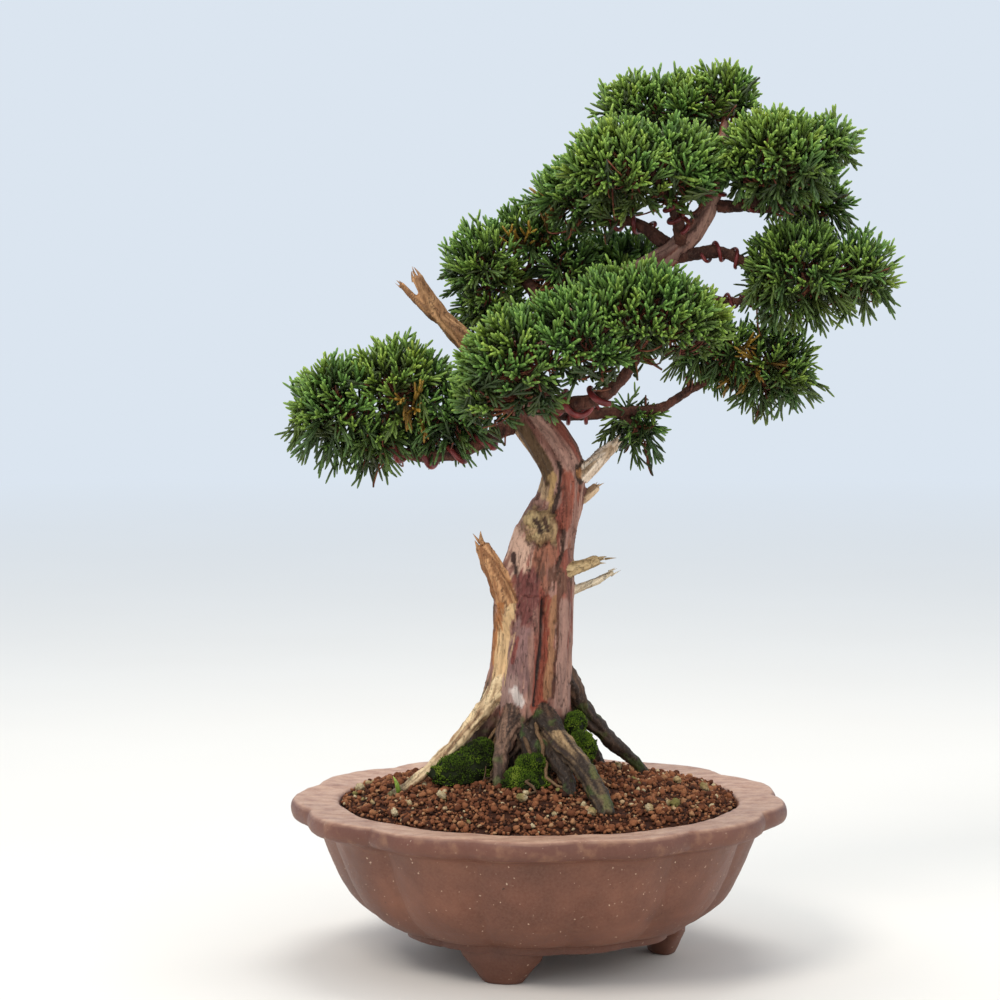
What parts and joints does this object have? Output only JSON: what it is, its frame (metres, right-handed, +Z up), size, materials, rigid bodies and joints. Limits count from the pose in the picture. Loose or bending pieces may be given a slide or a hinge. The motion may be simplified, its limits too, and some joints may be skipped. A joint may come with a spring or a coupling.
{
  "type": "potted bonsai tree",
  "caption": "Juniper bonsai with a leaning trunk, dead stubs, training wire and separate foliage pads, in a round lobed clay pot on short feet, with soil and moss.",
  "frame": {"origin": "middle of the whole object's bounding box in plan, at the height of the three feet's undersides; the pot's own axis is 28 mm towards -X of it", "axes": "+Z up; the side seen in the picture faces -Y; the foliage leans towards +X"},
  "size_m": [0.3368, 0.2798, 0.5027],
  "materials": {
    "clay": "unglazed, matt",
    "screen": "matt",
    "soil": "loose fired-clay grains",
    "bark": "living bark with bare deadwood",
    "twig_bark": "young flaking bark",
    "foliage": "scale-leaved juniper sprigs",
    "wire": "anodised dark red",
    "moss": "live moss",
    "pumice": "rough"
  },
  "bodies": {
    "root": {"pot": "clay", "drainage_screen_1": "screen", "drainage_screen_2": "screen", "drainage_screen_3": "screen", "soil": "soil", "trunk": "bark", "limb_back": "twig_bark", "limb_back_left": "twig_bark", "limb_back_top": "twig_bark", "limb_front": "twig_bark", "limb_left": "twig_bark", "limb_lower_right": "twig_bark", "limb_right": "twig_bark", "limb_right_low": "twig_bark", "limb_upper_front": "twig_bark", "limb_upper_left": "twig_bark", "limb_upper_right": "twig_bark", "foliage_apex": "foliage", "foliage_back": "foliage", "foliage_back_left": "foliage", "foliage_back_top": "foliage", "foliage_front": "foliage", "foliage_hanging": "foliage", "foliage_left": "foliage", "foliage_lower_right": "foliage", "foliage_right": "foliage", "foliage_right_back": "foliage", "foliage_upper_front": "foliage", "foliage_upper_left": "foliage", "foliage_upper_right": "foliage", "wire_front": "wire", "wire_left": "wire", "wire_lower_right": "wire", "wire_right": "wire", "wire_right_low": "wire", "wire_trunk_top": "wire", "wire_upper_front": "wire", "wire_upper_left": "wire", "wire_upper_right": "wire", "moss_front": "moss", "moss_left": "moss", "moss_right": "moss", "pebble_1": "pumice", "pebble_2": "pumice", "pebble_3": "pumice", "pebble_4": "pumice", "pebble_5": "pumice", "pebble_6": "pumice", "pebble_7": "pumice", "pebble_8": "pumice", "pebble_9": "pumice", "pebble_10": "pumice"}
  },
  "joints": []
}
